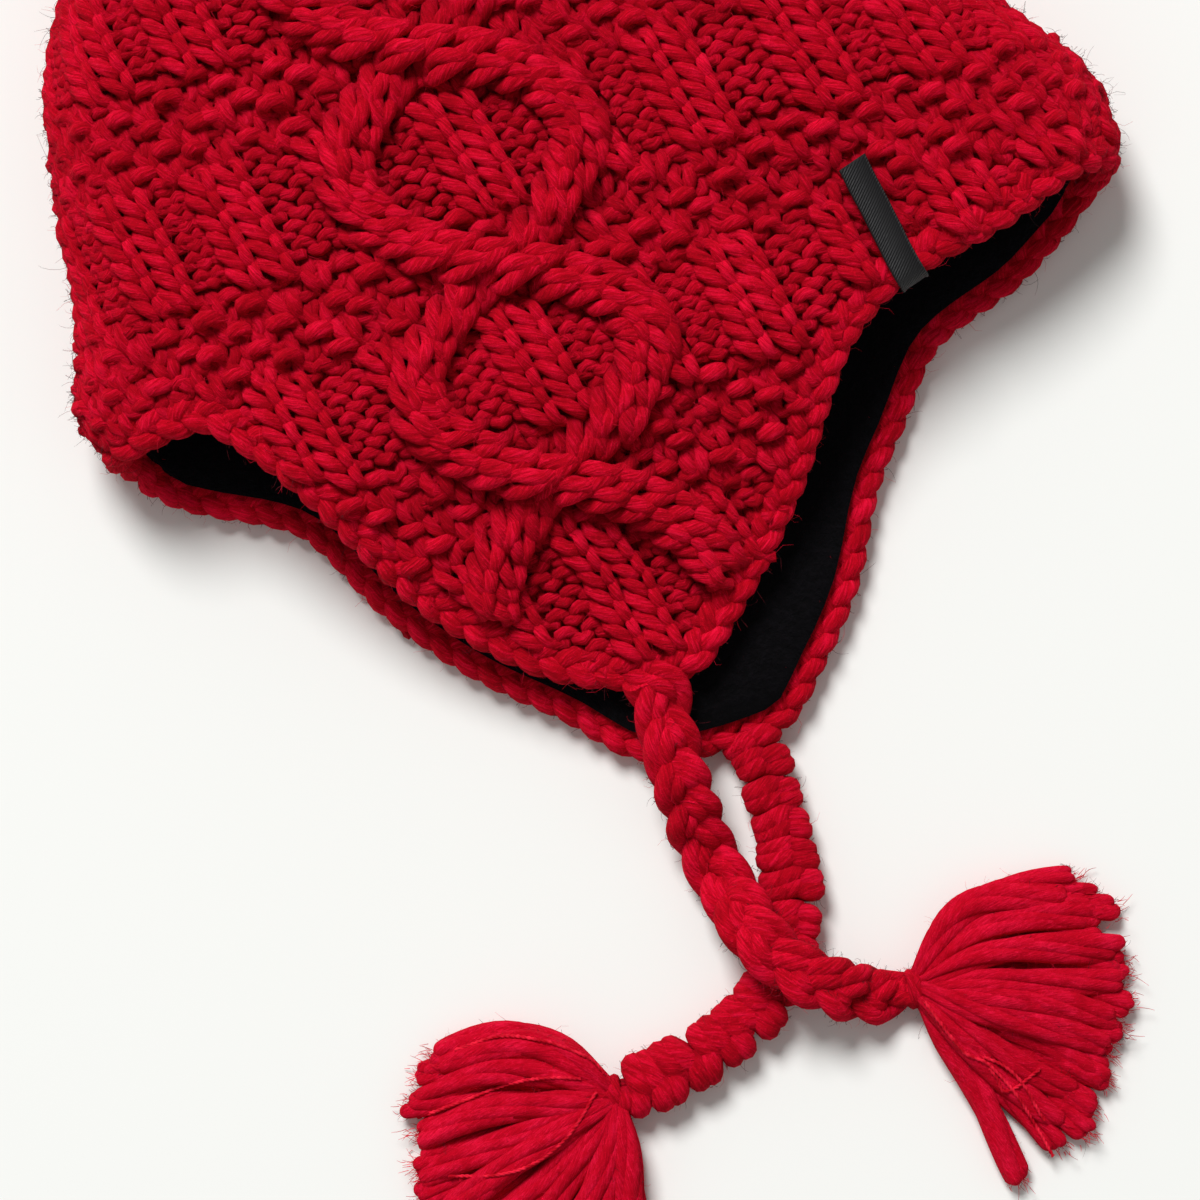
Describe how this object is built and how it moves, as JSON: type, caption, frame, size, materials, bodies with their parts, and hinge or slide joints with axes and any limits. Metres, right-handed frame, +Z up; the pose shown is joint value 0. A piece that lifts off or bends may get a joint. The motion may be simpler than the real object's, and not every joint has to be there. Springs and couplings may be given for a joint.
{
  "type": "earflap hat",
  "caption": "Chunky cable-knit winter hat with earflaps, black fleece lining and plaited ties ending in yarn tassels, lying flat on its side.",
  "frame": {"origin": "on the table, under the middle of the flattened hat measured without its ties and tassels", "axes": "+Z up from the table, +Y from the mouth towards the gathered crown, +X from the nape fold towards the forehead fold"},
  "size_m": [0.2432, 0.3961, 0.0459],
  "materials": {
    "yarn": "soft matt chunky wool-blend yarn, faint pale fibres",
    "tassel_yarn": "loose brushed ends of the same yarn, a little brighter",
    "fleece": "matt black fleece with a short nap",
    "tape": "bare black woven tape"
  },
  "bodies": {
    "root": {"knit_shell": "yarn", "rim_edging": "yarn", "fleece_lining": "fleece", "label_tab": "tape", "near_tie": "yarn", "far_tie": "yarn", "near_binding": "yarn", "far_binding": "yarn", "near_tassel": "tassel_yarn", "far_tassel": "tassel_yarn"}
  },
  "joints": []
}
